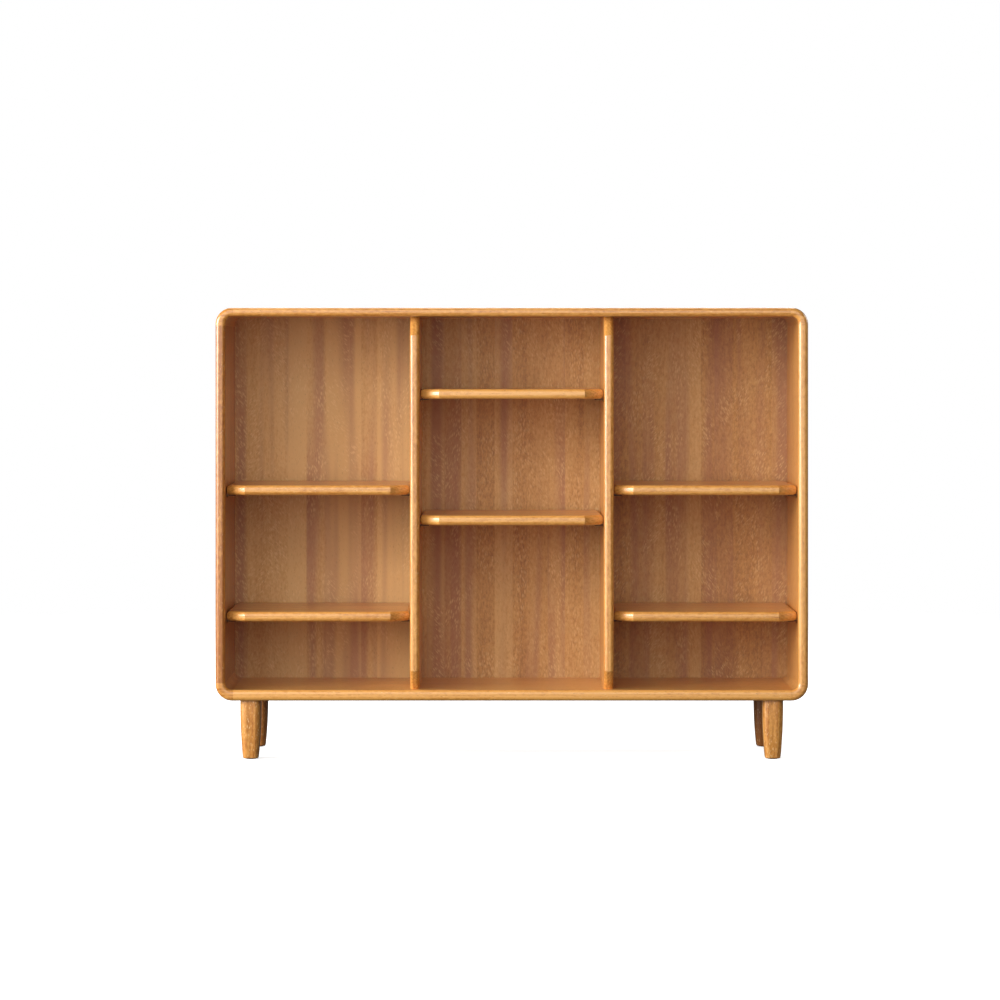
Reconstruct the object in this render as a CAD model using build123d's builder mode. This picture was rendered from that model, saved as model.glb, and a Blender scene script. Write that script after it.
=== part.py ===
"""Low bookcase: a rounded board frame on four legs, three bays, six adjustable shelves.

Frame: origin on the floor under the middle of the case, +X right, +Y back, +Z up.
The open front faces -Y.  All lengths in millimetres.
"""
import os

from build123d import *

os.makedirs("parts", exist_ok=True)

# ---- driving dimensions -------------------------------------------------------------
WIDTH = 1200.0
DEPTH = 300.0
HEIGHT = 916.0
LEG_HEIGHT = 120.0
TOP_BOARD = 18.0
SIDE_BOARD = 20.0
BOTTOM_BOARD = 22.0
OUTER_RADIUS = 34.0
INNER_RADIUS = 14.0
CORNER_BLOCK = 36.0
FRONT_ROUND = 8.0
BACK_ROUND = 2.0

DIVIDER = 20.0
SHELF = 20.0
FRONT_SETBACK = 3.0
CLIP_WIDTH = 38.0
CLIP_DEPTH = 28.0
DIVIDER_ROUND = 8.0
SHELF_ROUND = 8.0
SHELF_SIDE_GAP = 1.0
SHELF_BACK_GAP = 2.0
SHELF_CORNER_ROUND = 3.0

PANEL = 6.0
PANEL_SETBACK = 285.0
PANEL_TONGUE = 5.5
GROOVE_DEPTH = 6.0
GROOVE_CLEARANCE = 0.1
PANEL_SEAM = 0.5

SIDE_SHELF_LEVELS = {"lower": 280.0, "upper": 536.0}
CENTRE_SHELF_LEVELS = {"lower": 475.0, "upper": 731.0}

PIN_RADIUS = 2.5
PIN_LENGTH = 8.0
PIN_CHAMFER = 0.5
PIN_ROW_Y = 100.0
PIN_PITCH = 32.0
SPARE_HOLES = 2
PIN_HOLE_DEPTH = 8.5
COLLAR_RADIUS = 3.6
COLLAR = 1.2
SPOON_LENGTH = 18.0
SPOON_WIDTH = 10.0
SPOON = 2.4
SPOON_TIP_ROUND = 3.0

LEG_TOP = 42.0
LEG_WAIST = 41.0
LEG_KNEE = 37.0
LEG_FOOT = 31.0
LEG_WAIST_LEVEL = 0.62 * LEG_HEIGHT
LEG_KNEE_LEVEL = 0.28 * LEG_HEIGHT
LEG_CORNER = 0.32
LEG_INSET_X = 70.0
LEG_INSET_Y = 34.0
FOOT_ROUND = 2.5

GLIDE_RADIUS = 11.0
GLIDE_THICKNESS = 1.5
GLIDE_CHAMFER = 1.0
GLIDE_STEM_RADIUS = 3.0
GLIDE_STEM_LENGTH = 10.0

BOLT_RADIUS = 4.0
BOLT_IN_LEG = 45.0
BOLT_IN_BOARD = 14.0
BOLT_END_CHAMFER = 1.0
BOLT_POINT_LENGTH = 3.0
BOLT_POINT_CHAMFER = 2.5
INSERT_RADIUS = 6.0
INSERT_LENGTH = 15.0

DOWEL_RADIUS = 3.0
DOWEL_LENGTH = 30.0
DOWEL_IN_CORNER = 13.0
DOWEL_ROW_Y = 90.0
DIVIDER_DOWEL_RADIUS = 4.0
DIVIDER_DOWEL_IN_BOARD = 11.0

SCREW_RADIUS = 2.0
SCREW_LENGTH = 50.0
SCREW_HEAD_RADIUS = 4.0
RECESS_WIDTH = 1.0
RECESS_DEPTH = 1.2
SCREW_ROW_Y = 45.0
PANEL_SCREW_RADIUS = 1.75
PANEL_SCREW_LENGTH = 25.0
PANEL_SCREW_HEAD_RADIUS = 3.5
PANEL_SCREW_HEAD = 2.0
PANEL_SCREW_INSET = 5.0
PANEL_SCREW_END_GAP = 60.0

CLEARANCE = 0.05
END_CLEARANCE = 0.5

# ---- places worked out from the driving dimensions ------------------------------------
FRONT = -DEPTH / 2
CASE_BOTTOM = LEG_HEIGHT
CASE_MIDDLE = (LEG_HEIGHT + HEIGHT) / 2
CASE_HEIGHT = HEIGHT - LEG_HEIGHT
INSIDE_WIDTH = WIDTH - 2 * SIDE_BOARD
INSIDE_BOTTOM = CASE_BOTTOM + BOTTOM_BOARD
INSIDE_TOP = HEIGHT - TOP_BOARD
INSIDE_HEIGHT = INSIDE_TOP - INSIDE_BOTTOM
INSIDE_MIDDLE = (INSIDE_TOP + INSIDE_BOTTOM) / 2
BAY_WIDTH = (INSIDE_WIDTH - 2 * DIVIDER) / 3
DIVIDER_X = (BAY_WIDTH + DIVIDER) / 2
PANEL_FRONT = FRONT + PANEL_SETBACK
PANEL_BACK = PANEL_FRONT + PANEL
TRIM_FRONT = FRONT + FRONT_SETBACK
CLIP_END = TRIM_FRONT + CLIP_DEPTH
CORNER_X = WIDTH / 2 - CORNER_BLOCK
CORNER_TOP = HEIGHT - CORNER_BLOCK
CORNER_BOTTOM = CASE_BOTTOM + CORNER_BLOCK
LEG_X = WIDTH / 2 - LEG_INSET_X
LEG_Y = DEPTH / 2 - LEG_INSET_Y

SIDES = {"left": -1, "right": 1}
BAYS = {"left": -1, "centre": 0, "right": 1}
LEG_PLACES = {
    "leg_front_left": (-LEG_X, -LEG_Y),
    "leg_front_right": (LEG_X, -LEG_Y),
    "leg_back_left": (-LEG_X, LEG_Y),
    "leg_back_right": (LEG_X, LEG_Y),
}


def bay_levels(bay):
    """Height of each shelf's underside in one bay."""
    return CENTRE_SHELF_LEVELS if bay == "centre" else SIDE_SHELF_LEVELS


def bay_centre(bay):
    return BAYS[bay] * (BAY_WIDTH + DIVIDER)


def xz_plane(y):
    """Upright plane at depth y, seen from the front: its x is +X and its y is +Z."""
    return Plane(origin=(0, y, 0), x_dir=(1, 0, 0), z_dir=(0, -1, 0))


def save(piece, name):
    piece.part.label = name
    export_step(piece.part, f"parts/{name}.step")


def rod(radius, low, high):
    """Round rod between two points, made on its own so that it can be added or cut."""
    axis = Vector(*high) - Vector(*low)
    with BuildPart() as made:
        with BuildSketch(Plane(origin=low, z_dir=axis)):
            Circle(radius)
        extrude(amount=axis.length)
    return made.part


def cut_rods(rods):
    """Cut bores from the part in whose block this is called."""
    for made in rods:
        add(made, mode=Mode.SUBTRACT)


# ---- bores for the shelf pins ----------------------------------------------------------
def pin_bores(bay, side):
    """Two rows of blind holes around each shelf level, in the wall on one side of a bay."""
    wall_x = bay_centre(bay) + SIDES[side] * BAY_WIDTH / 2
    end_x = wall_x + SIDES[side] * PIN_HOLE_DEPTH
    bores = []
    for level in bay_levels(bay).values():
        for step in range(-SPARE_HOLES, SPARE_HOLES + 1):
            z = level - PIN_RADIUS + step * PIN_PITCH
            for y in (-PIN_ROW_Y, PIN_ROW_Y):
                bores.append(rod(PIN_RADIUS + CLEARANCE, (wall_x, y, z), (end_x, y, z)))
    return bores


# ---- dowels, screws and their bores -----------------------------------------------------
def corner_dowel_ends():
    """Both ends of every dowel between a board and a corner block: corner end, board end."""
    ends = []
    board_part = DOWEL_LENGTH - DOWEL_IN_CORNER
    top = (CORNER_TOP, HEIGHT - TOP_BOARD / 2, 1)
    bottom = (CORNER_BOTTOM, CASE_BOTTOM + BOTTOM_BOARD / 2, -1)
    for side in SIDES.values():
        for corner_z, board_z, up in (top, bottom):
            for y in (-DOWEL_ROW_Y, DOWEL_ROW_Y):
                side_x = side * (WIDTH - SIDE_BOARD) / 2
                flat_in = (side * (CORNER_X + DOWEL_IN_CORNER), y, board_z)
                flat_out = (side * (CORNER_X - board_part), y, board_z)
                upright_in = (side_x, y, corner_z + up * DOWEL_IN_CORNER)
                upright_out = (side_x, y, corner_z - up * board_part)
                ends.append((flat_in, flat_out))
                ends.append((upright_in, upright_out))
    return ends


def divider_dowel_ends(side):
    """Both ends of the dowels at the top and bottom of one divider."""
    ends = []
    inside = DOWEL_LENGTH - DIVIDER_DOWEL_IN_BOARD
    for joint_z, up in ((INSIDE_TOP, 1), (INSIDE_BOTTOM, -1)):
        for y in (-DOWEL_ROW_Y, DOWEL_ROW_Y):
            x = SIDES[side] * DIVIDER_X
            outer_end = (x, y, joint_z + up * DIVIDER_DOWEL_IN_BOARD)
            inner_end = (x, y, joint_z - up * inside)
            ends.append((outer_end, inner_end))
    return ends


def bore_along(radius, first, second):
    """Bore for a dowel, a little wider and longer than the dowel itself."""
    along = (Vector(*second) - Vector(*first)).normalized() * END_CLEARANCE
    low = Vector(*first) - along
    high = Vector(*second) + along
    return rod(radius + CLEARANCE, tuple(low), tuple(high))


CORNER_DOWELS = corner_dowel_ends()
CORNER_DOWEL_BORES = [bore_along(DOWEL_RADIUS, *ends) for ends in CORNER_DOWELS]
DIVIDER_DOWELS = {side: divider_dowel_ends(side) for side in SIDES}
DIVIDER_DOWEL_BORES = {
    side: [bore_along(DIVIDER_DOWEL_RADIUS, *ends) for ends in DIVIDER_DOWELS[side]]
    for side in SIDES
}
DIVIDER_SCREW_POINTS = [
    (SIDES[side] * DIVIDER_X, y) for side in SIDES for y in (-SCREW_ROW_Y, SCREW_ROW_Y)
]
PANEL_SCREW_LEVELS = (
    INSIDE_BOTTOM + PANEL_SCREW_END_GAP,
    INSIDE_MIDDLE,
    INSIDE_TOP - PANEL_SCREW_END_GAP,
)


def screw_shape(x, y):
    """Countersunk screw with a cross recess, driven up through the bottom board."""
    head_height = SCREW_HEAD_RADIUS - SCREW_RADIUS
    with BuildPart() as screw:
        with BuildSketch(xz_plane(y)):
            with BuildLine():
                Polyline(
                    (x, CASE_BOTTOM),
                    (x + SCREW_HEAD_RADIUS, CASE_BOTTOM),
                    (x + SCREW_RADIUS, CASE_BOTTOM + head_height),
                    (x + SCREW_RADIUS, CASE_BOTTOM + SCREW_LENGTH - 2 * SCREW_RADIUS),
                    (x, CASE_BOTTOM + SCREW_LENGTH),
                    close=True,
                )
            make_face()
        revolve(axis=Axis((x, y, 0), (0, 0, 1)))
        with BuildSketch(Plane.XY.offset(CASE_BOTTOM)):
            with Locations((x, y)):
                Rectangle(SCREW_HEAD_RADIUS, RECESS_WIDTH)
                Rectangle(RECESS_WIDTH, SCREW_HEAD_RADIUS)
        extrude(amount=RECESS_DEPTH, mode=Mode.SUBTRACT)
    return screw.part


def screw_bore(x, y):
    """Countersunk hole through the bottom board and on into the divider."""
    head_height = SCREW_HEAD_RADIUS - SCREW_RADIUS
    radius = SCREW_RADIUS + CLEARANCE
    with BuildPart() as bore:
        with BuildSketch(xz_plane(y)):
            with BuildLine():
                Polyline(
                    (x, CASE_BOTTOM),
                    (x + SCREW_HEAD_RADIUS + CLEARANCE, CASE_BOTTOM),
                    (x + radius, CASE_BOTTOM + head_height),
                    (x + radius, CASE_BOTTOM + SCREW_LENGTH + END_CLEARANCE),
                    (x, CASE_BOTTOM + SCREW_LENGTH + END_CLEARANCE),
                    close=True,
                )
            make_face()
        revolve(axis=Axis((x, y, 0), (0, 0, 1)))
    return bore.part


def panel_screw_places():
    """x and z of the screws through the back panels, either side of each panel seam."""
    places = []
    for side in SIDES.values():
        for offset in (-PANEL_SCREW_INSET, PANEL_SCREW_INSET):
            for z in PANEL_SCREW_LEVELS:
                places.append((side * DIVIDER_X + offset, z))
    return places


def panel_screw_bore(x, z):
    tip_y = PANEL_BACK - PANEL_SCREW_LENGTH - END_CLEARANCE
    return rod(PANEL_SCREW_RADIUS + CLEARANCE, (x, tip_y, z), (x, PANEL_BACK, z))


DIVIDER_SCREW_BORES = [screw_bore(*point) for point in DIVIDER_SCREW_POINTS]
PANEL_SCREW_BORES = [panel_screw_bore(*place) for place in panel_screw_places()]


# ---- the board frame, from which each frame piece is cut ---------------------------------
def inside_outline(margin=0.0, mode=Mode.ADD):
    """Rounded rectangle around the inside of the case, grown outwards by a margin."""
    width = INSIDE_WIDTH + 2 * margin
    height = INSIDE_HEIGHT + 2 * margin
    with Locations((0, INSIDE_MIDDLE)):
        RectangleRounded(width, height, INNER_RADIUS + margin, mode=mode)


with BuildPart() as frame_ring:
    with BuildSketch(xz_plane(FRONT)):
        with Locations((0, CASE_MIDDLE)):
            RectangleRounded(WIDTH, CASE_HEIGHT, OUTER_RADIUS)
        inside_outline(mode=Mode.SUBTRACT)
    extrude(amount=-DEPTH)
    fillet(frame_ring.faces().sort_by(Axis.Y)[0].edges(), radius=FRONT_ROUND)
    fillet(frame_ring.faces().sort_by(Axis.Y)[-1].edges(), radius=BACK_ROUND)
    with BuildSketch(xz_plane(PANEL_FRONT - GROOVE_CLEARANCE)):
        inside_outline(GROOVE_DEPTH)
    extrude(amount=-(PANEL + 2 * GROOVE_CLEARANCE), mode=Mode.SUBTRACT)


def frame_piece(low_x, high_x, low_z, high_z):
    """The part of the frame ring inside one upright box that runs from front to back."""
    with BuildPart() as piece:
        add(frame_ring.part)
        with BuildSketch(xz_plane(FRONT)):
            with Locations(((low_x + high_x) / 2, (low_z + high_z) / 2)):
                Rectangle(high_x - low_x, high_z - low_z)
        extrude(amount=-DEPTH, mode=Mode.INTERSECT)
        cut_rods(CORNER_DOWEL_BORES)
    return piece.part


# ---- top board ---------------------------------------------------------------------------
with BuildPart() as top_board:
    add(frame_piece(-CORNER_X, CORNER_X, CORNER_TOP, HEIGHT))
    for side in SIDES:
        cut_rods(DIVIDER_DOWEL_BORES[side])
save(top_board, "top_board")

# ---- bottom board ------------------------------------------------------------------------
with BuildPart() as bottom_board:
    add(frame_piece(-CORNER_X, CORNER_X, CASE_BOTTOM, CORNER_BOTTOM))
    for side in SIDES:
        cut_rods(DIVIDER_DOWEL_BORES[side])
    cut_rods(DIVIDER_SCREW_BORES)
    for x, y in LEG_PLACES.values():
        insert_end = CASE_BOTTOM + INSERT_LENGTH
        cut_rods([rod(INSERT_RADIUS + CLEARANCE, (x, y, CASE_BOTTOM), (x, y, insert_end))])
save(bottom_board, "bottom_board")

# ---- side boards ---------------------------------------------------------------------------
for side, sign in SIDES.items():
    ends_x = sorted((sign * CORNER_X, sign * WIDTH / 2))
    with BuildPart() as side_board:
        add(frame_piece(*ends_x, CORNER_BOTTOM, CORNER_TOP))
        cut_rods(pin_bores(side, side))
    save(side_board, f"side_board_{side}")

# ---- corner blocks ---------------------------------------------------------------------------
for side, sign in SIDES.items():
    ends_x = sorted((sign * CORNER_X, sign * WIDTH / 2))
    for tier, low_z, high_z in (("bottom", CASE_BOTTOM, CORNER_BOTTOM), ("top", CORNER_TOP, HEIGHT)):
        with BuildPart() as corner_block:
            add(frame_piece(*ends_x, low_z, high_z))
        save(corner_block, f"corner_block_{tier}_{side}")

# ---- dividers ----------------------------------------------------------------------------------
for side, sign in SIDES.items():
    centre_x = sign * DIVIDER_X
    with BuildPart() as divider:
        with BuildSketch(Plane.YZ.offset(centre_x - DIVIDER / 2)):
            with BuildLine():
                Polyline(
                    (PANEL_FRONT, INSIDE_BOTTOM),
                    (CLIP_END, INSIDE_BOTTOM),
                    (TRIM_FRONT, INSIDE_BOTTOM + CLIP_WIDTH),
                    (TRIM_FRONT, INSIDE_TOP - CLIP_WIDTH),
                    (CLIP_END, INSIDE_TOP),
                    (PANEL_FRONT, INSIDE_TOP),
                    close=True,
                )
            make_face()
        extrude(amount=DIVIDER)
        side_edges = divider.faces().filter_by(Axis.X).edges()
        fillet(side_edges.filter_by(lambda edge: edge.center().Y < CLIP_END), radius=DIVIDER_ROUND)
        cut_rods(DIVIDER_DOWEL_BORES[side])
        cut_rods(DIVIDER_SCREW_BORES)
        cut_rods(PANEL_SCREW_BORES)
        cut_rods(pin_bores(side, "right" if side == "left" else "left"))
        cut_rods(pin_bores("centre", side))
    save(divider, f"divider_{side}")

# ---- back panels --------------------------------------------------------------------------------
for bay in BAYS:
    low_x = bay_centre(bay) - (BAY_WIDTH + DIVIDER - PANEL_SEAM) / 2
    high_x = bay_centre(bay) + (BAY_WIDTH + DIVIDER - PANEL_SEAM) / 2
    if bay == "left":
        low_x = -WIDTH / 2
    if bay == "right":
        high_x = WIDTH / 2
    with BuildPart() as back_panel:
        with BuildSketch(xz_plane(PANEL_FRONT)):
            inside_outline(PANEL_TONGUE)
            with Locations(((low_x + high_x) / 2, CASE_MIDDLE)):
                Rectangle(high_x - low_x, CASE_HEIGHT, mode=Mode.INTERSECT)
        extrude(amount=-PANEL)
        cut_rods(PANEL_SCREW_BORES)
    save(back_panel, f"back_panel_{bay}")

# ---- shelves ------------------------------------------------------------------------------------
SHELF_LENGTH = BAY_WIDTH - 2 * SHELF_SIDE_GAP
SHELF_BACK = PANEL_FRONT - SHELF_BACK_GAP


def make_shelf(bay, tier):
    """Shelf with clipped front corners, rounded over on its front, clips and side edges."""
    level = bay_levels(bay)[tier]
    middle = bay_centre(bay)
    half = SHELF_LENGTH / 2
    with BuildPart() as shelf:
        with BuildSketch(Plane.XY.offset(level)):
            with BuildLine():
                Polyline(
                    (middle - half, SHELF_BACK),
                    (middle - half, CLIP_END),
                    (middle - half + CLIP_WIDTH, TRIM_FRONT),
                    (middle + half - CLIP_WIDTH, TRIM_FRONT),
                    (middle + half, CLIP_END),
                    (middle + half, SHELF_BACK),
                    close=True,
                )
            make_face()
        extrude(amount=SHELF)
        uprights = shelf.edges().filter_by(Axis.Z)
        fillet(uprights.group_by(Axis.Y)[1], radius=SHELF_CORNER_ROUND)
        rims = shelf.faces().filter_by(Axis.Z).edges()
        back_rims = rims.group_by(Axis.Y)[-1]
        fillet(rims - back_rims, radius=SHELF_ROUND)
    return shelf


for bay in BAYS:
    for tier in ("lower", "upper"):
        save(make_shelf(bay, tier), f"shelf_{bay}_{tier}")


# ---- shelf pins ----------------------------------------------------------------------------------
def make_pins(bay, tier, side):
    """Two spoon pins at one end of one shelf: a stem in the wall, a flat-topped collar and a spoon."""
    away = SIDES[side]
    wall_x = bay_centre(bay) + away * BAY_WIDTH / 2
    top_z = bay_levels(bay)[tier]
    pin_z = top_z - PIN_RADIUS
    with BuildPart() as pins:
        for y in (-PIN_ROW_Y, PIN_ROW_Y):
            add(rod(PIN_RADIUS, (wall_x, y, pin_z), (wall_x + away * PIN_LENGTH, y, pin_z)))
        stem_ends = pins.faces().filter_by(Axis.X).group_by(Axis.X)[-1 if away > 0 else 0]
        chamfer(stem_ends.edges(), length=PIN_CHAMFER)
        for y in (-PIN_ROW_Y, PIN_ROW_Y):
            wall = Plane(origin=(wall_x, y, pin_z), x_dir=(0, -away, 0), z_dir=(-away, 0, 0))
            with BuildSketch(wall):
                Circle(COLLAR_RADIUS)
                with Locations((0, (PIN_RADIUS - COLLAR_RADIUS) / 2)):
                    collar_height = COLLAR_RADIUS + PIN_RADIUS
                    Rectangle(2 * COLLAR_RADIUS, collar_height, mode=Mode.INTERSECT)
            extrude(amount=COLLAR)
            with BuildSketch(Plane.XY.offset(top_z)):
                with Locations((wall_x - away * SPOON_LENGTH / 2, y)):
                    Rectangle(SPOON_LENGTH, SPOON_WIDTH)
            extrude(amount=-SPOON)
        tips = pins.faces().filter_by(Axis.X).group_by(Axis.X)[0 if away > 0 else -1]
        fillet(tips.edges().filter_by(Axis.Z), radius=SPOON_TIP_ROUND)
    return pins


for bay in BAYS:
    for tier in ("lower", "upper"):
        for side in SIDES:
            save(make_pins(bay, tier, side), f"pins_{bay}_{tier}_{side}")

# ---- legs -----------------------------------------------------------------------------------------
LEG_BOTTOM = GLIDE_THICKNESS
LEG_SECTIONS = (
    (LEG_BOTTOM, LEG_FOOT),
    (LEG_KNEE_LEVEL, LEG_KNEE),
    (LEG_WAIST_LEVEL, LEG_WAIST),
    (LEG_HEIGHT, LEG_TOP),
)
for name, (x, y) in LEG_PLACES.items():
    with BuildPart() as leg:
        for z, width in LEG_SECTIONS:
            with BuildSketch(Plane.XY.offset(z)):
                with Locations((x, y)):
                    RectangleRounded(width, width, LEG_CORNER * width)
        loft()
        fillet(leg.faces().sort_by(Axis.Z)[0].edges(), radius=FOOT_ROUND)
        bolt_end = LEG_HEIGHT - BOLT_IN_LEG - END_CLEARANCE
        stem_end = LEG_BOTTOM + GLIDE_STEM_LENGTH + END_CLEARANCE
        cut_rods([rod(BOLT_RADIUS + CLEARANCE, (x, y, bolt_end), (x, y, LEG_HEIGHT))])
        cut_rods([rod(GLIDE_STEM_RADIUS + CLEARANCE, (x, y, LEG_BOTTOM), (x, y, stem_end))])
    save(leg, name)

# ---- foot glides -----------------------------------------------------------------------------------
with BuildPart() as foot_glides:
    for x, y in LEG_PLACES.values():
        with BuildSketch(xz_plane(y)):
            with BuildLine():
                Polyline(
                    (x, 0),
                    (x + GLIDE_RADIUS - GLIDE_CHAMFER, 0),
                    (x + GLIDE_RADIUS, GLIDE_CHAMFER),
                    (x + GLIDE_RADIUS, GLIDE_THICKNESS),
                    (x + GLIDE_STEM_RADIUS, GLIDE_THICKNESS),
                    (x + GLIDE_STEM_RADIUS, GLIDE_THICKNESS + GLIDE_STEM_LENGTH),
                    (x, GLIDE_THICKNESS + GLIDE_STEM_LENGTH),
                    close=True,
                )
            make_face()
        revolve(axis=Axis((x, y, 0), (0, 0, 1)))
save(foot_glides, "foot_glides")

# ---- leg hanger bolts and their inserts ---------------------------------------------------------------
for name, (x, y) in LEG_PLACES.items():
    with BuildPart() as leg_bolt:
        low = (x, y, LEG_HEIGHT - BOLT_IN_LEG)
        add(rod(BOLT_RADIUS, low, (x, y, LEG_HEIGHT + BOLT_IN_BOARD)))
        chamfer(leg_bolt.faces().sort_by(Axis.Z)[-1].edges(), length=BOLT_END_CHAMFER)
        point = leg_bolt.faces().sort_by(Axis.Z)[0].edges()
        chamfer(point, length=BOLT_POINT_LENGTH, length2=BOLT_POINT_CHAMFER)
    save(leg_bolt, name.replace("leg_", "leg_bolt_"))

with BuildPart() as leg_inserts:
    for x, y in LEG_PLACES.values():
        low = (x, y, CASE_BOTTOM)
        high = (x, y, CASE_BOTTOM + INSERT_LENGTH)
        add(rod(INSERT_RADIUS, low, high))
        add(rod(BOLT_RADIUS + CLEARANCE, low, high), mode=Mode.SUBTRACT)
save(leg_inserts, "leg_inserts")

# ---- dowels ---------------------------------------------------------------------------------------------
with BuildPart() as corner_dowels:
    for ends in CORNER_DOWELS:
        add(rod(DOWEL_RADIUS, *ends))
save(corner_dowels, "corner_dowels")

for side in SIDES:
    with BuildPart() as divider_dowels:
        for ends in DIVIDER_DOWELS[side]:
            add(rod(DIVIDER_DOWEL_RADIUS, *ends))
    save(divider_dowels, f"divider_dowels_{side}")

# ---- screws ---------------------------------------------------------------------------------------------
with BuildPart() as divider_screws:
    for point in DIVIDER_SCREW_POINTS:
        add(screw_shape(*point))
save(divider_screws, "divider_screws")

with BuildPart() as back_panel_screws:
    for x, z in panel_screw_places():
        add(rod(PANEL_SCREW_RADIUS, (x, PANEL_BACK - PANEL_SCREW_LENGTH, z), (x, PANEL_BACK, z)))
        head_end = (x, PANEL_BACK + PANEL_SCREW_HEAD, z)
        add(rod(PANEL_SCREW_HEAD_RADIUS, (x, PANEL_BACK, z), head_end))
save(back_panel_screws, "back_panel_screws")
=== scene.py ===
"""Looks for the bookcase.

Procedural wood, metal and nylon on its CAD parts, a pale floor, soft light and a camera.
"""

import math

import bpy
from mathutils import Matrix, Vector


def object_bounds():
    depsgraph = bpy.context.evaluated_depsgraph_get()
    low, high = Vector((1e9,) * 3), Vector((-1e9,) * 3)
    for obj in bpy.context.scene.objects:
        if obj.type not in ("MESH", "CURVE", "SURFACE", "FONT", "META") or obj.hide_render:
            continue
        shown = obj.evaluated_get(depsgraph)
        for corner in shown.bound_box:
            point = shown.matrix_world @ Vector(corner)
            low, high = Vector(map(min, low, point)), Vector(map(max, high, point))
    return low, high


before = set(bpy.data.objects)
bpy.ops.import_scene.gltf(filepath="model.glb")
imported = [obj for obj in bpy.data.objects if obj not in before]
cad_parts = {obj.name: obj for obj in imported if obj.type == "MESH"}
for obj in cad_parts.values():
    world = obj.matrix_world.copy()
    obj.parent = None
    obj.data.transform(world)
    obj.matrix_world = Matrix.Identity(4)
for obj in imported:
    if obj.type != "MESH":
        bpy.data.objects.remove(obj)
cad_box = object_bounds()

LOW, HIGH = Vector(cad_box[0]), Vector(cad_box[1])
MIDDLE = (LOW + HIGH) / 2
MM = 0.001
WHITE = (1.0, 1.0, 1.0)

# ---------------------------------------------------------------- shader helpers


def new_material(name):
    """An empty node material with its output and main shader."""
    material = bpy.data.materials.new(name)
    material.use_nodes = True
    tree = material.node_tree
    tree.nodes.clear()
    output = tree.nodes.new("ShaderNodeOutputMaterial")
    shader = tree.nodes.new("ShaderNodeBsdfPrincipled")
    tree.links.new(shader.outputs["BSDF"], output.inputs["Surface"])
    return material, tree, shader


def plug(tree, socket, value):
    """Links a socket to another, or gives it a plain value."""
    if isinstance(value, bpy.types.NodeSocket):
        tree.links.new(value, socket)
    else:
        socket.default_value = value


def opaque(colour):
    """A colour with full alpha, as colour sockets take it."""
    return (*colour, 1.0)


def maths(tree, operation, *operands):
    node = tree.nodes.new("ShaderNodeMath")
    node.operation = operation
    for socket, value in zip(node.inputs, operands):
        plug(tree, socket, value)
    return node.outputs[0]


def times(tree, first, second):
    return maths(tree, "MULTIPLY", first, second)


def weighted(tree, value, weight, onto):
    """The value times its weight, added onto another value."""
    return maths(tree, "MULTIPLY_ADD", value, weight, onto)


def vector_node(tree, operation, *operands):
    node = tree.nodes.new("ShaderNodeVectorMath")
    node.operation = operation
    for socket, value in zip(node.inputs, operands):
        plug(tree, socket, value)
    return node


def vector_maths(tree, operation, *operands):
    return vector_node(tree, operation, *operands).outputs[0]


def vector_measure(tree, operation, *operands):
    """A vector operation that gives a number, such as a length or a dot product."""
    return vector_node(tree, operation, *operands).outputs["Value"]


def axes_of(tree, vector):
    """The three numbers of a vector or colour."""
    node = tree.nodes.new("ShaderNodeSeparateXYZ")
    plug(tree, node.inputs[0], vector)
    return node.outputs


def object_place(tree):
    return tree.nodes.new("ShaderNodeTexCoord").outputs["Object"]


def noise(tree, vector, scale=1.0, detail=2.0, roughness=0.5):
    node = tree.nodes.new("ShaderNodeTexNoise")
    plug(tree, node.inputs["Vector"], vector)
    plug(tree, node.inputs["Scale"], scale)
    plug(tree, node.inputs["Detail"], detail)
    plug(tree, node.inputs["Roughness"], roughness)
    return node.outputs[0]


def cells(tree, vector):
    """Scattered cells: how far each point is from its cell's centre, and the cell's colour."""
    node = tree.nodes.new("ShaderNodeTexVoronoi")
    plug(tree, node.inputs["Vector"], vector)
    plug(tree, node.inputs["Scale"], 1.0)
    return node.outputs["Distance"], node.outputs["Color"]


def band(tree, value, start, end, low=0.0, high=1.0):
    """Maps start..end smoothly onto low..high."""
    node = tree.nodes.new("ShaderNodeMapRange")
    node.interpolation_type = "SMOOTHSTEP"
    for socket, given in zip(node.inputs, (value, start, end, low, high)):
        plug(tree, socket, given)
    return node.outputs[0]


def blend(tree, factor, first, second, mode="MIX"):
    node = tree.nodes.new("ShaderNodeMix")
    node.data_type = "RGBA"
    node.blend_type = mode
    plug(tree, node.inputs[0], factor)
    plug(tree, node.inputs[6], first)
    plug(tree, node.inputs[7], second)
    return node.outputs[2]


def ramp(tree, factor, stops):
    """A colour ramp with (place, colour) stops."""
    node = tree.nodes.new("ShaderNodeValToRGB")
    plug(tree, node.inputs[0], factor)
    elements = node.color_ramp.elements
    while len(elements) < len(stops):
        elements.new(1.0)
    for element, (place, colour) in zip(elements, stops):
        element.position = place
        element.color = opaque(colour)
    return node.outputs[0]


def bump(tree, height, distance, strength):
    node = tree.nodes.new("ShaderNodeBump")
    plug(tree, node.inputs["Strength"], strength)
    plug(tree, node.inputs["Distance"], distance)
    plug(tree, node.inputs["Height"], height)
    return node.outputs["Normal"]


BEVEL_SAMPLES = 4
FLAT_AGREEMENT = 0.995
EDGE_AGREEMENT = 0.86


def edge_wear(tree, radius):
    """1 on sharp edges and 0 elsewhere, from how far a bevelled normal leans from the true one."""
    bevel = tree.nodes.new("ShaderNodeBevel")
    bevel.samples = BEVEL_SAMPLES
    plug(tree, bevel.inputs["Radius"], radius)
    true_normal = tree.nodes.new("ShaderNodeNewGeometry").outputs["Normal"]
    agreement = vector_measure(tree, "DOT_PRODUCT", bevel.outputs[0], true_normal)
    return band(tree, agreement, FLAT_AGREEMENT, EDGE_AGREEMENT)


# ---------------------------------------------------------------- wood

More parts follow.
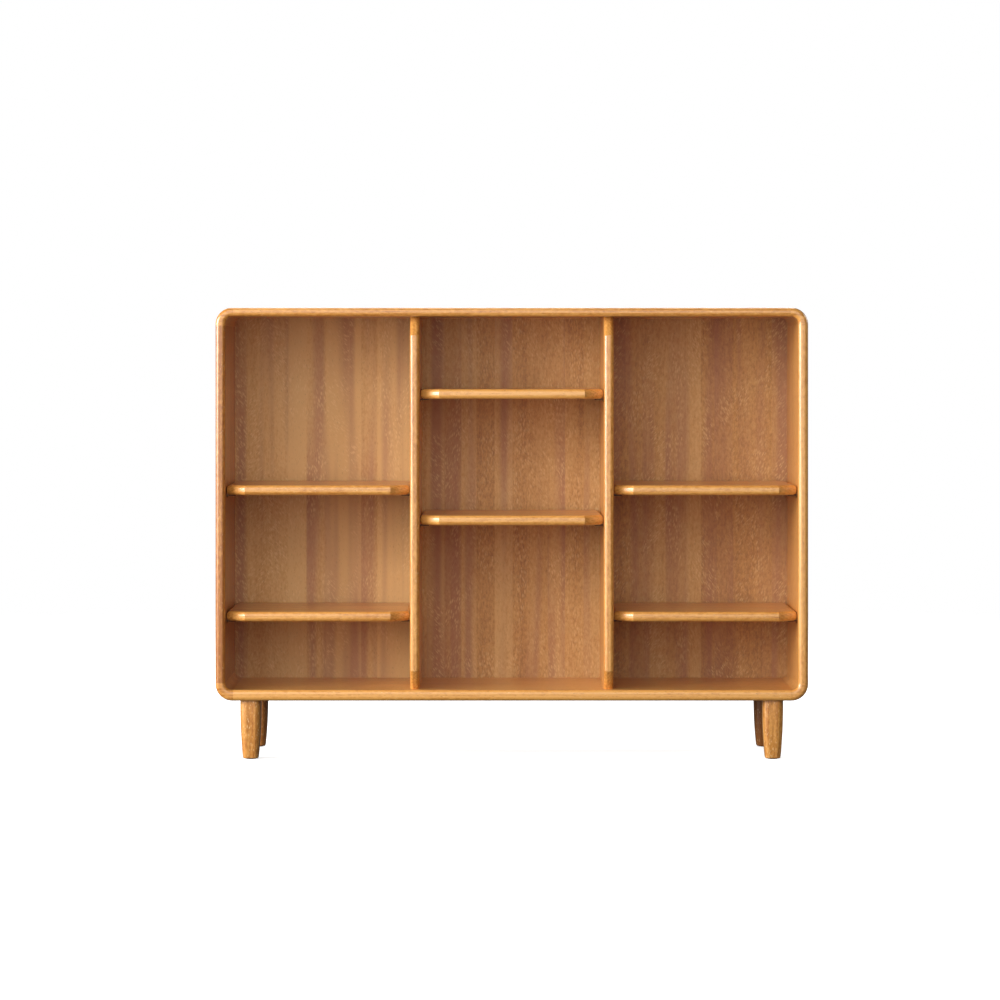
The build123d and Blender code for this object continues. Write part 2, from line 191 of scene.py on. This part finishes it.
HONEY = {
    "light": (0.82, 0.395, 0.095),
    "middle": (0.62, 0.252, 0.048),
    "dark": (0.40, 0.130, 0.020),
    "fleck": (0.96, 0.66, 0.30),
    "pore": (0.20, 0.060, 0.012),
}
CHESTNUT = {
    "light": (0.74, 0.468, 0.190),
    "middle": (0.63, 0.345, 0.120),
    "dark": (0.45, 0.226, 0.085),
    "fleck": (0.87, 0.610, 0.285),
    "pore": (0.20, 0.092, 0.042),
    "plum": (0.42, 0.192, 0.120),
}
BEECH = {
    "light": (0.78, 0.58, 0.38),
    "middle": (0.66, 0.46, 0.28),
    "dark": (0.52, 0.33, 0.18),
    "fleck": (0.50, 0.30, 0.16),
}

# Which object axes stand for across, across and along the grain.
AXIS_ORDER = {"X": "YZX", "Z": "XYZ"}

# Noise layers by name: how many features a metre holds across the grain and along it,
# the noise's detail and roughness, and the layer's weight in the lightness of the wood.
BOARD_LAYERS = {
    "drift": (22.0, 2.6, 3.0, 0.55, 0.70),
    "streaks": (260.0, 7.0, 4.0, 0.60, 0.80),
    "mottle": (210.0, 85.0, 4.0, 0.65, 1.15),
    "fibres": (2100.0, 38.0, 2.0, 0.50, 0.30),
}
PANEL_LAYERS = {
    "drift": (24.0, 2.2, 3.0, 0.55, 0.70),
    "streaks": (130.0, 6.0, 4.0, 0.62, 0.30),
    "mottle": (270.0, 125.0, 4.0, 0.68, 1.25),
    "fibres": (420.0, 42.0, 4.0, 0.60, 0.50),
}
# What the layers add up to on average, taken off again, so that a tone of 0 is the middle.
BOARD_AVERAGE = 0.95
PANEL_AVERAGE = 1.03

PITH = (0.05, -0.09, 0.0)
RING_SPACING = 4.6 * MM
RING_WANDER = 0.02
RING_WEIGHT = -0.125

STAVE_WIDTH = 38 * MM
STAVE_UNEVENNESS = 0.8
STAVE_JOINT_SOFTNESS = 0.12
STAVE_WEIGHT = 0.38
WIDEST_LEAN = 0.75

STROKE_SWAY = 5.0 * MM
GRAIN_BUMP = 0.12 * MM
WOOD_SPECULAR = 0.35
LACQUER_WEIGHT = 0.90
LACQUER_ROUGHNESS = 0.26
LACQUER_IOR = 1.62


def grain_coordinates(tree, grain, shift):
    """Object coordinates with the grain along the third axis, moved so that no boards match."""
    axes = axes_of(tree, vector_maths(tree, "ADD", object_place(tree), shift))
    turned = tree.nodes.new("ShaderNodeCombineXYZ")
    for socket, axis in zip(turned.inputs, AXIS_ORDER[grain]):
        plug(tree, socket, axes[axis])
    return turned.outputs[0]


def stretched(tree, vector, across, along):
    """Grain coordinates scaled so that one unit is a feature 1/across wide and 1/along long."""
    return vector_maths(tree, "MULTIPLY", vector, (across, across, along))


def layered(tree, place, layers, tone_and_painted_light):
    """The noise layers by name, and the lightness that they and the tone, painted light included,
    add up to.
    """
    maps, level = {}, tone_and_painted_light
    for name, (across, along, detail, roughness, weight) in layers.items():
        grid = stretched(tree, place, across, along)
        maps[name] = noise(tree, grid, detail=detail, roughness=roughness)
        level = weighted(tree, maps[name], weight, level)
    return maps, level


def three_tones(tree, level, colours, dark, light):
    """The wood's colour: its dark, middle and light tones by the lightness."""
    stops = ((dark, colours["dark"]), (0.50, colours["middle"]), (light, colours["light"]))
    return ramp(tree, level, stops)


def growth_rings(tree, place):
    """0 in early wood and 1 in late wood, in rings round a pith that runs beside the board."""
    sway = noise(tree, stretched(tree, place, across=7.0, along=1.6), detail=3.0)
    flat = stretched(tree, place, across=1.0, along=0.02)
    from_pith = vector_measure(tree, "LENGTH", vector_maths(tree, "ADD", flat, PITH))
    swayed = weighted(tree, sway, RING_WANDER, from_pith)
    turn = maths(tree, "FRACT", maths(tree, "DIVIDE", swayed, RING_SPACING))
    rise = band(tree, turn, 0.30, 0.90)
    fall = band(tree, turn, 0.92, 1.0, 1.0, 0.0)
    return times(tree, rise, fall)


def dashes(tree, place, across, along, share, size=0.35):
    """Short wavy strokes along the grain: share of the cells hold one, of a size in its cell."""
    sway = noise(tree, stretched(tree, place, across=150.0, along=60.0), detail=1.0)
    reach = (STROKE_SWAY, STROKE_SWAY, 0.0)
    swayed = vector_maths(tree, "MULTIPLY_ADD", sway, reach, place)
    distance, colour = cells(tree, stretched(tree, swayed, across, along))
    shape = band(tree, distance, size, size * 0.25)
    chosen = band(tree, axes_of(tree, colour)[0], share, share - 0.12)
    return times(tree, shape, chosen)


def wood(name, grain, seed, flecks, tone_and_painted_light):
    """Satin-lacquered solid wood with its grain along one axis."""
    material, tree, shader = new_material(name)
    shift = (0.37 * seed + 0.11, 0.61 * seed + 0.23, 0.83 * seed + 0.05)
    place = grain_coordinates(tree, grain, shift)

    maps, level = layered(tree, place, BOARD_LAYERS, tone_and_painted_light)
    streaks, fibres = maps["streaks"], maps["fibres"]
    level = weighted(tree, growth_rings(tree, place), RING_WEIGHT, level)
    level = maths(tree, "SUBTRACT", level, BOARD_AVERAGE)
    base = three_tones(tree, level, HONEY, dark=0.18, light=0.86)

    rays = dashes(tree, place, across=330.0, along=105.0, share=flecks)
    patches = noise(tree, stretched(tree, place, across=30.0, along=14.0))
    patches = band(tree, patches, 0.38, 0.62)
    strength = weighted(tree, patches, 0.85 * flecks, 0.25 * flecks)
    rays_here = times(tree, rays, strength)
    base = blend(tree, rays_here, base, opaque(HONEY["fleck"]))
    pores = dashes(tree, place, across=620.0, along=95.0, share=0.45, size=0.30)
    base = blend(tree, times(tree, pores, 0.50), base, opaque(HONEY["pore"]))
    worn = edge_wear(tree, 1.5 * MM)
    base = blend(tree, times(tree, worn, 0.35), base, opaque(HONEY["light"]))
    plug(tree, shader.inputs["Base Color"], base)

    sheen = weighted(tree, streaks, 0.16, 0.28)
    sheen = weighted(tree, rays_here, -0.10, sheen)
    sheen = weighted(tree, pores, 0.12, sheen)
    sheen = weighted(tree, worn, -0.06, sheen)
    plug(tree, shader.inputs["Roughness"], sheen)
    height = weighted(tree, pores, -0.9, times(tree, fibres, 0.35))
    height = weighted(tree, streaks, 0.5, height)
    plug(tree, shader.inputs["Normal"], bump(tree, height, GRAIN_BUMP, strength=0.7))
    shader.inputs["Specular IOR Level"].default_value = WOOD_SPECULAR
    shader.inputs["Coat Weight"].default_value = LACQUER_WEIGHT
    shader.inputs["Coat Roughness"].default_value = LACQUER_ROUGHNESS
    shader.inputs["Coat IOR"].default_value = LACQUER_IOR
    return material


def stave_colours(tree, place):
    """Three random numbers for each upright stave, which blur a little at the joints."""
    stave = tree.nodes.new("ShaderNodeTexVoronoi")
    stave.voronoi_dimensions = "1D"
    stave.feature = "SMOOTH_F1"
    sideways = axes_of(tree, place)[0]
    plug(tree, stave.inputs["W"], maths(tree, "DIVIDE", sideways, STAVE_WIDTH))
    stave.inputs["Scale"].default_value = 1.0
    stave.inputs["Smoothness"].default_value = STAVE_JOINT_SOFTNESS
    stave.inputs["Randomness"].default_value = STAVE_UNEVENNESS
    return axes_of(tree, stave.outputs["Color"])


def leaning(tree, place, angle):
    """Grain coordinates turned by an angle in the plane of the panel."""
    turn = tree.nodes.new("ShaderNodeVectorRotate")
    turn.rotation_type = "AXIS_ANGLE"
    plug(tree, turn.inputs["Vector"], place)
    turn.inputs["Axis"].default_value = (0.0, 1.0, 0.0)
    plug(tree, turn.inputs["Angle"], angle)
    return turn.outputs[0]


def stave_panel(name, seed, tone_and_painted_light):
    """A back panel of edge-joined upright staves, each with its own tone and ray figure."""
    material, tree, shader = new_material(name)
    shift = (0.29 * seed + 0.17, 0.53 * seed + 0.31, 0.71 * seed + 0.13)
    place = grain_coordinates(tree, "Z", shift)
    own_tone, own_plum, own_lean = stave_colours(tree, place)

    maps, level = layered(tree, place, PANEL_LAYERS, tone_and_painted_light)
    level = weighted(tree, own_tone, STAVE_WEIGHT, level)
    level = maths(tree, "SUBTRACT", level, PANEL_AVERAGE)
    base = three_tones(tree, level, CHESTNUT, dark=0.16, light=0.88)
    stripe = noise(tree, stretched(tree, place, across=34.0, along=1.5), detail=1.0)
    stripe = weighted(tree, own_plum, 0.35, stripe)
    plum = times(tree, band(tree, stripe, 0.58, 0.92), 0.66)
    base = blend(tree, plum, base, opaque(CHESTNUT["plum"]))

    lean = weighted(tree, own_lean, 2 * WIDEST_LEAN, -WIDEST_LEAN)
    tilted = leaning(tree, place, lean)
    rays = dashes(tree, tilted, across=330.0, along=92.0, share=0.85, size=0.58)
    patches = noise(tree, stretched(tree, place, across=24.0, along=9.0))
    patches = band(tree, patches, 0.42, 0.62)
    rays_here = times(tree, rays, weighted(tree, patches, 0.50, 0.08))
    base = blend(tree, rays_here, base, opaque(CHESTNUT["fleck"]))
    pores = dashes(tree, place, across=700.0, along=80.0, share=0.40, size=0.30)
    base = blend(tree, times(tree, pores, 0.45), base, opaque(CHESTNUT["pore"]))
    plug(tree, shader.inputs["Base Color"], base)

    sheen = weighted(tree, maps["streaks"], 0.14, 0.42)
    sheen = weighted(tree, rays_here, -0.10, sheen)
    plug(tree, shader.inputs["Roughness"], sheen)
    height = weighted(tree, pores, -0.9, times(tree, maps["fibres"], 0.35))
    plug(tree, shader.inputs["Normal"], bump(tree, height, GRAIN_BUMP, strength=0.6))
    shader.inputs["Specular IOR Level"].default_value = WOOD_SPECULAR
    return material


def dowel_wood(name):
    """Bare beech, with short flecks and a fine fibre."""
    material, tree, shader = new_material(name)
    place = grain_coordinates(tree, "Z", (0.0, 0.0, 0.0))
    fibres = stretched(tree, place, across=1500.0, along=260.0)
    fibres = noise(tree, fibres, detail=4.0, roughness=0.6)
    blush = noise(tree, place, scale=60.0)
    level = weighted(tree, fibres, 0.7, times(tree, blush, 0.4))
    stops = ((0.30, BEECH["dark"]), (0.55, BEECH["middle"]), (0.80, BEECH["light"]))
    base = ramp(tree, level, stops)
    flecks = dashes(tree, place, across=1400.0, along=700.0, share=0.35)
    base = blend(tree, times(tree, flecks, 0.5), base, opaque(BEECH["fleck"]))
    plug(tree, shader.inputs["Base Color"], base)
    plug(tree, shader.inputs["Roughness"], weighted(tree, fibres, 0.25, 0.55))
    plug(tree, shader.inputs["Normal"], bump(tree, fibres, 0.08 * MM, strength=0.6))
    return material


# ---------------------------------------------------------------- metal and nylon

BRONZE, DARK_BRONZE = (0.15, 0.10, 0.065), (0.09, 0.058, 0.036)
ZINC, DULL_ZINC = (0.66, 0.67, 0.66), (0.44, 0.45, 0.46)
BRASS, DARK_BRASS = (0.78, 0.57, 0.26), (0.52, 0.34, 0.13)
BROWN_NYLON, SCUFF = (0.30, 0.20, 0.13), (0.9, 0.88, 0.84)


def metal(name, colour, tarnish, roughness, brush):
    """Plated or turned metal with fine brushing, stains and brighter edges."""
    material, tree, shader = new_material(name)
    place = object_place(tree)
    stain = noise(tree, place, scale=180.0, detail=4.0, roughness=0.6)
    lines = noise(tree, vector_maths(tree, "MULTIPLY", place, brush), detail=3.0)
    worn = edge_wear(tree, 0.4 * MM)
    level = weighted(tree, lines, 0.35, times(tree, stain, 0.65))
    base = blend(tree, band(tree, level, 0.35, 0.70), opaque(tarnish), opaque(colour))
    bright = tuple(min(1.0, 1.15 * part) for part in colour)
    base = blend(tree, times(tree, worn, 0.6), base, opaque(bright))
    plug(tree, shader.inputs["Base Color"], base)
    shader.inputs["Metallic"].default_value = 1.0
    dull = weighted(tree, stain, 0.18, roughness - 0.09)
    plug(tree, shader.inputs["Roughness"], weighted(tree, worn, -0.08, dull))
    plug(tree, shader.inputs["Normal"], bump(tree, lines, 0.02 * MM, strength=0.5))
    return material


def nylon(name, colour):
    """Moulded nylon with a fine orange-peel skin."""
    material, tree, shader = new_material(name)
    place = object_place(tree)
    cloud = noise(tree, place, scale=140.0, detail=3.0)
    skin = noise(tree, place, scale=2600.0)
    dim = tuple(0.72 * part for part in colour)
    base = blend(tree, band(tree, cloud, 0.35, 0.65), opaque(dim), opaque(colour))
    worn = edge_wear(tree, 0.5 * MM)
    base = blend(tree, times(tree, worn, 0.3), base, opaque(SCUFF))
    plug(tree, shader.inputs["Base Color"], base)
    plug(tree, shader.inputs["Roughness"], weighted(tree, cloud, 0.2, 0.42))
    plug(tree, shader.inputs["Normal"], bump(tree, skin, 0.05 * MM, strength=0.6))
    return material


def paint(node, material):
    """Gives a CAD node its material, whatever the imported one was."""
    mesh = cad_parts[node].data
    mesh.materials.clear()
    mesh.materials.append(material)


# ---------------------------------------------------------------- parts and their materials

BOARD_FLECKS = 0.4
LEG_FLECKS = 0.8

# The grain's axis, how much lighter the part is than the middle tone, and its share of flecks. Part
# of these tones is painted light: the bottom board is lighter as painted light from below, the
# right side board and right corner blocks are lighter as a painted highlight, and the left side
# board and back legs are darker as painted shade.
PARTS = {
    "top_board": ("X", 0.12, BOARD_FLECKS),
    # painted light from below: the bottom board's lighter tone
    "bottom_board": ("X", 0.38, BOARD_FLECKS),
    # painted shade on the left side board, a painted highlight on the right one
    "side_board_left": ("Z", -0.26, BOARD_FLECKS),
    "side_board_right": ("Z", 0.28, BOARD_FLECKS),
    "corner_block_top_left": ("X", 0.0, BOARD_FLECKS),
    # painted highlight: the right corner blocks are lighter
    "corner_block_top_right": ("X", 0.18, BOARD_FLECKS),
    "corner_block_bottom_left": ("X", 0.10, BOARD_FLECKS),
    "corner_block_bottom_right": ("X", 0.26, BOARD_FLECKS),
    "divider_left": ("Z", 0.08, BOARD_FLECKS),
    "divider_right": ("Z", 0.10, BOARD_FLECKS),
    "leg_front_left": ("Z", -0.02, LEG_FLECKS),
    "leg_front_right": ("Z", 0.08, LEG_FLECKS),
    # painted shade: the back legs are darker
    "leg_back_left": ("Z", -0.34, LEG_FLECKS),
    "leg_back_right": ("Z", -0.38, LEG_FLECKS),
}
for seed, (part, (grain, tone_and_painted_light, flecks)) in enumerate(PARTS.items(), start=1):
    paint(part, wood(f"wood_{part}", grain, seed, flecks, tone_and_painted_light))

# Each bay's shelf tone and back panel tone. The panel tones hold painted light: the left bay's
# panel is lighter where more light falls, and the right bay's panel is darker where shade falls.
BAYS = {"left": (0.10, 0.38), "centre": (0.34, 0.10), "right": (0.24, 0.02)}
FIRST_SEEDS = {"lower": 20, "upper": 30}
for number, (bay, (shelf_tone, panel_tone_and_painted_light)) in enumerate(BAYS.items()):
    paint(f"back_panel_{bay}", stave_panel(f"staves_{bay}", number + 1, panel_tone_and_painted_light))
    for tier, first_seed in FIRST_SEEDS.items():
        shelf = f"shelf_{bay}_{tier}"
        material = wood(f"wood_{shelf}", "X", first_seed + number, BOARD_FLECKS, shelf_tone)
        paint(shelf, material)

bronze = metal("bronze_pin", BRONZE, DARK_BRONZE, 0.50, brush=(300.0, 2400.0, 2400.0))
zinc = metal("zinc_screw", ZINC, DULL_ZINC, 0.34, brush=(1800.0, 1800.0, 1800.0))
brass = metal("brass_insert", BRASS, DARK_BRASS, 0.32, brush=(1800.0, 1800.0, 900.0))
beech = dowel_wood("beech_dowel")
glide = nylon("nylon_glide", BROWN_NYLON)
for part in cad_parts:
    if part.startswith("pins_"):
        paint(part, bronze)
    elif "dowels" in part:
        paint(part, beech)
    elif "screws" in part or "leg_bolt" in part:
        paint(part, zinc)
paint("leg_inserts", brass)
paint("foot_glides", glide)

# ---------------------------------------------------------------- floor, light and camera

FLOOR_RADIUS = 6.0
FLOOR_SIDES = 96
FLOOR_COLOUR = (0.93, 0.925, 0.915)
FLOOR_GLOW = 0.70
FADE_START, FADE_END = 0.30 * FLOOR_RADIUS, 0.75 * FLOOR_RADIUS

STUDIO_LIGHT = 0.06
STUDIO_BACKDROP = 1.0

# Each light's azimuth (0 in front, 90 on the right, 180 behind) and elevation in degrees,
# its distance and its size in metres, and its power in watts.
LIGHTS = {
    "key": (-66.0, 12.0, 7.0, (6.0, 3.0), 800.0),
    "front_wall": (-9.0, 13.0, 4.5, (5.0, 3.0), 84.0),
    "upper_left": (-14.0, 38.0, 5.5, (2.4, 2.4), 34.0),
    "right_side": (108.0, 22.0, 5.5, (3.0, 2.4), 110.0),
    "back": (180.0, 52.0, 3.5, (2.4, 1.5), 66.0),
}

LENS = 128.4
SENSOR_WIDTH = 36.0
LENS_SHIFT_X, LENS_SHIFT_Y = 0.0153, -0.142
CAMERA_OFFSET_X, CAMERA_Y, CAMERA_HEIGHT = -0.055, -7.365, 0.814


def pale_floor():
    """A round pale floor that glows softly and lights nothing, clear towards its rim."""
    bpy.ops.mesh.primitive_circle_add(
        vertices=FLOOR_SIDES, radius=FLOOR_RADIUS, fill_type="NGON"
    )
    floor = bpy.context.object
    floor.name = "studio_floor"
    floor.location = (MIDDLE.x, MIDDLE.y, LOW.z)
    material, tree, shader = new_material("pale_floor")
    place = object_place(tree)
    grain = noise(tree, place, scale=9.0, detail=4.0)
    shade = weighted(tree, grain, 0.02, 0.98)
    tint = blend(tree, 1.0, opaque(FLOOR_COLOUR), shade, "MULTIPLY")
    plug(tree, shader.inputs["Base Color"], tint)
    shader.inputs["Roughness"].default_value = 0.85
    shader.inputs["Emission Color"].default_value = opaque(WHITE)
    shader.inputs["Emission Strength"].default_value = FLOOR_GLOW
    fade = band(tree, vector_measure(tree, "LENGTH", place), FADE_START, FADE_END)
    clear = tree.nodes.new("ShaderNodeBsdfTransparent")
    mixed = tree.nodes.new("ShaderNodeMixShader")
    plug(tree, mixed.inputs[0], fade)
    tree.links.new(shader.outputs[0], mixed.inputs[1])
    tree.links.new(clear.outputs[0], mixed.inputs[2])
    output = tree.nodes["Material Output"]
    tree.links.new(mixed.outputs[0], output.inputs["Surface"])
    floor.data.materials.append(material)
    floor.visible_diffuse = False
    floor.visible_glossy = False


def softbox(name, azimuth, elevation, distance, size, power):
    """A rectangular area light aimed at the middle of the case."""
    lamp = bpy.data.lights.new(name, "AREA")
    lamp.shape = "RECTANGLE"
    lamp.size, lamp.size_y = size
    lamp.energy = power
    box = bpy.data.objects.new(name, lamp)
    bpy.context.scene.collection.objects.link(box)
    across, up = math.radians(azimuth), math.radians(elevation)
    right, front = math.sin(across) * math.cos(up), math.cos(across) * math.cos(up)
    outward = Vector((right, -front, math.sin(up)))
    box.location = MIDDLE + distance * outward
    box.rotation_euler = (-outward).to_track_quat("-Z", "Y").to_euler()


def surroundings(lit, seen):
    """A plain white studio: the light it gives is lit, and the camera sees it as bright as seen."""
    world = bpy.data.worlds.new("studio")
    world.use_nodes = True
    tree = world.node_tree
    tree.nodes.clear()
    output = tree.nodes.new("ShaderNodeOutputWorld")
    background = tree.nodes.new("ShaderNodeBackground")
    from_camera = tree.nodes.new("ShaderNodeLightPath").outputs["Is Camera Ray"]
    background.inputs["Color"].default_value = opaque(WHITE)
    strength = weighted(tree, from_camera, seen - lit, lit)
    plug(tree, background.inputs["Strength"], strength)
    tree.links.new(background.outputs[0], output.inputs["Surface"])
    bpy.context.scene.world = world


def look():
    """The camera stands square to the front, level, and frames the case with its lens shift."""
    data = bpy.data.cameras.new("camera")
    data.lens = LENS
    data.sensor_width = SENSOR_WIDTH
    data.shift_x = LENS_SHIFT_X
    data.shift_y = LENS_SHIFT_Y
    camera = bpy.data.objects.new("camera", data)
    bpy.context.scene.collection.objects.link(camera)
    camera.location = (MIDDLE.x + CAMERA_OFFSET_X, CAMERA_Y, LOW.z + CAMERA_HEIGHT)
    camera.rotation_euler = (math.radians(90.0), 0.0, 0.0)
    bpy.context.scene.camera = camera


pale_floor()
surroundings(STUDIO_LIGHT, STUDIO_BACKDROP)
for name, setting in LIGHTS.items():
    softbox(name, *setting)
bpy.context.scene.view_settings.view_transform = "Standard"
look()
